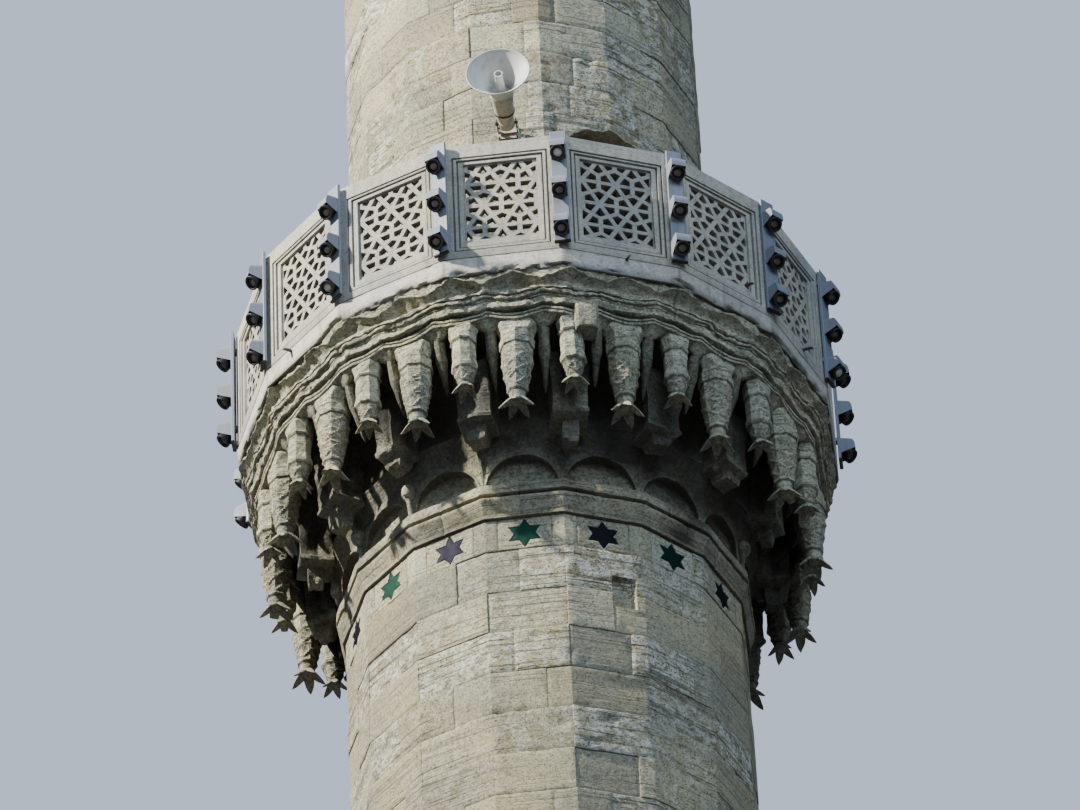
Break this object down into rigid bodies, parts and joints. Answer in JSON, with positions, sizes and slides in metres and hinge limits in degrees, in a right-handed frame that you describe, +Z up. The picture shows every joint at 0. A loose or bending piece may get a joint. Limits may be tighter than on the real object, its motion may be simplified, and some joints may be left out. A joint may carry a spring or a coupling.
{
  "type": "minaret gallery stage",
  "caption": "Sixteen-sided stone minaret stage: hollow shaft, carved hanging corbelling and a gallery with pierced marble parapet, doorway, light bars and a horn loudspeaker.",
  "frame": {"origin": "centre of the foot, on the shaft axis", "axes": "+Z up along the shaft axis, -Y out of the gallery doorway, +X to the right seen from the doorway side"},
  "size_m": [4.0692, 4.0692, 8.6],
  "materials": {
    "limestone": "weathered ashlar, matt",
    "carved_stone": "carved limestone, grimy and matt",
    "marble": "weathered white marble, matt",
    "grey_steel": "blue-grey, satin",
    "horn_paint": "light grey paint, dirty, satin",
    "fixing_steel": "dull, weathered",
    "star_tile": "green or purple glaze, glossy",
    "lamp_black": "black, satin",
    "lamp_glass": "frosted"
  },
  "bodies": {
    "root": {"lower_shaft_front_right": "limestone", "lower_shaft_back_right": "limestone", "lower_shaft_back_left": "limestone", "lower_shaft_front_left": "limestone", "moulding_course": "limestone", "landing_floor": "limestone", "upper_shaft_right": "limestone", "upper_shaft_back": "limestone", "upper_shaft_left": "limestone", "upper_shaft_over_door": "limestone", "niche_course": "carved_stone", "console_course": "carved_stone", "pendant_course": "carved_stone", "cornice": "carved_stone", "gallery_floor": "marble", "parapet_panel_01": "marble", "parapet_panel_02": "marble", "parapet_panel_03": "marble", "parapet_panel_04": "marble", "parapet_panel_05": "marble", "parapet_panel_06": "marble", "parapet_panel_07": "marble", "parapet_panel_08": "marble", "parapet_panel_09": "marble", "parapet_panel_10": "marble", "parapet_panel_11": "marble", "parapet_panel_12": "marble", "parapet_panel_13": "marble", "parapet_panel_14": "marble", "parapet_panel_15": "marble", "parapet_panel_16": "marble", "light_bar_01": "grey_steel", "light_bar_02": "grey_steel", "light_bar_03": "grey_steel", "light_bar_04": "grey_steel", "light_bar_05": "grey_steel", "light_bar_06": "grey_steel", "light_bar_07": "grey_steel", "light_bar_08": "grey_steel", "light_bar_09": "grey_steel", "light_bar_10": "grey_steel", "light_bar_11": "grey_steel", "light_bar_12": "grey_steel", "light_bar_13": "grey_steel", "light_bar_14": "grey_steel", "light_bar_15": "grey_steel", "light_bar_16": "grey_steel", "horn_bell": "horn_paint", "horn_driver": "horn_paint", "horn_bracket": "fixing_steel"}
  },
  "joints": []
}
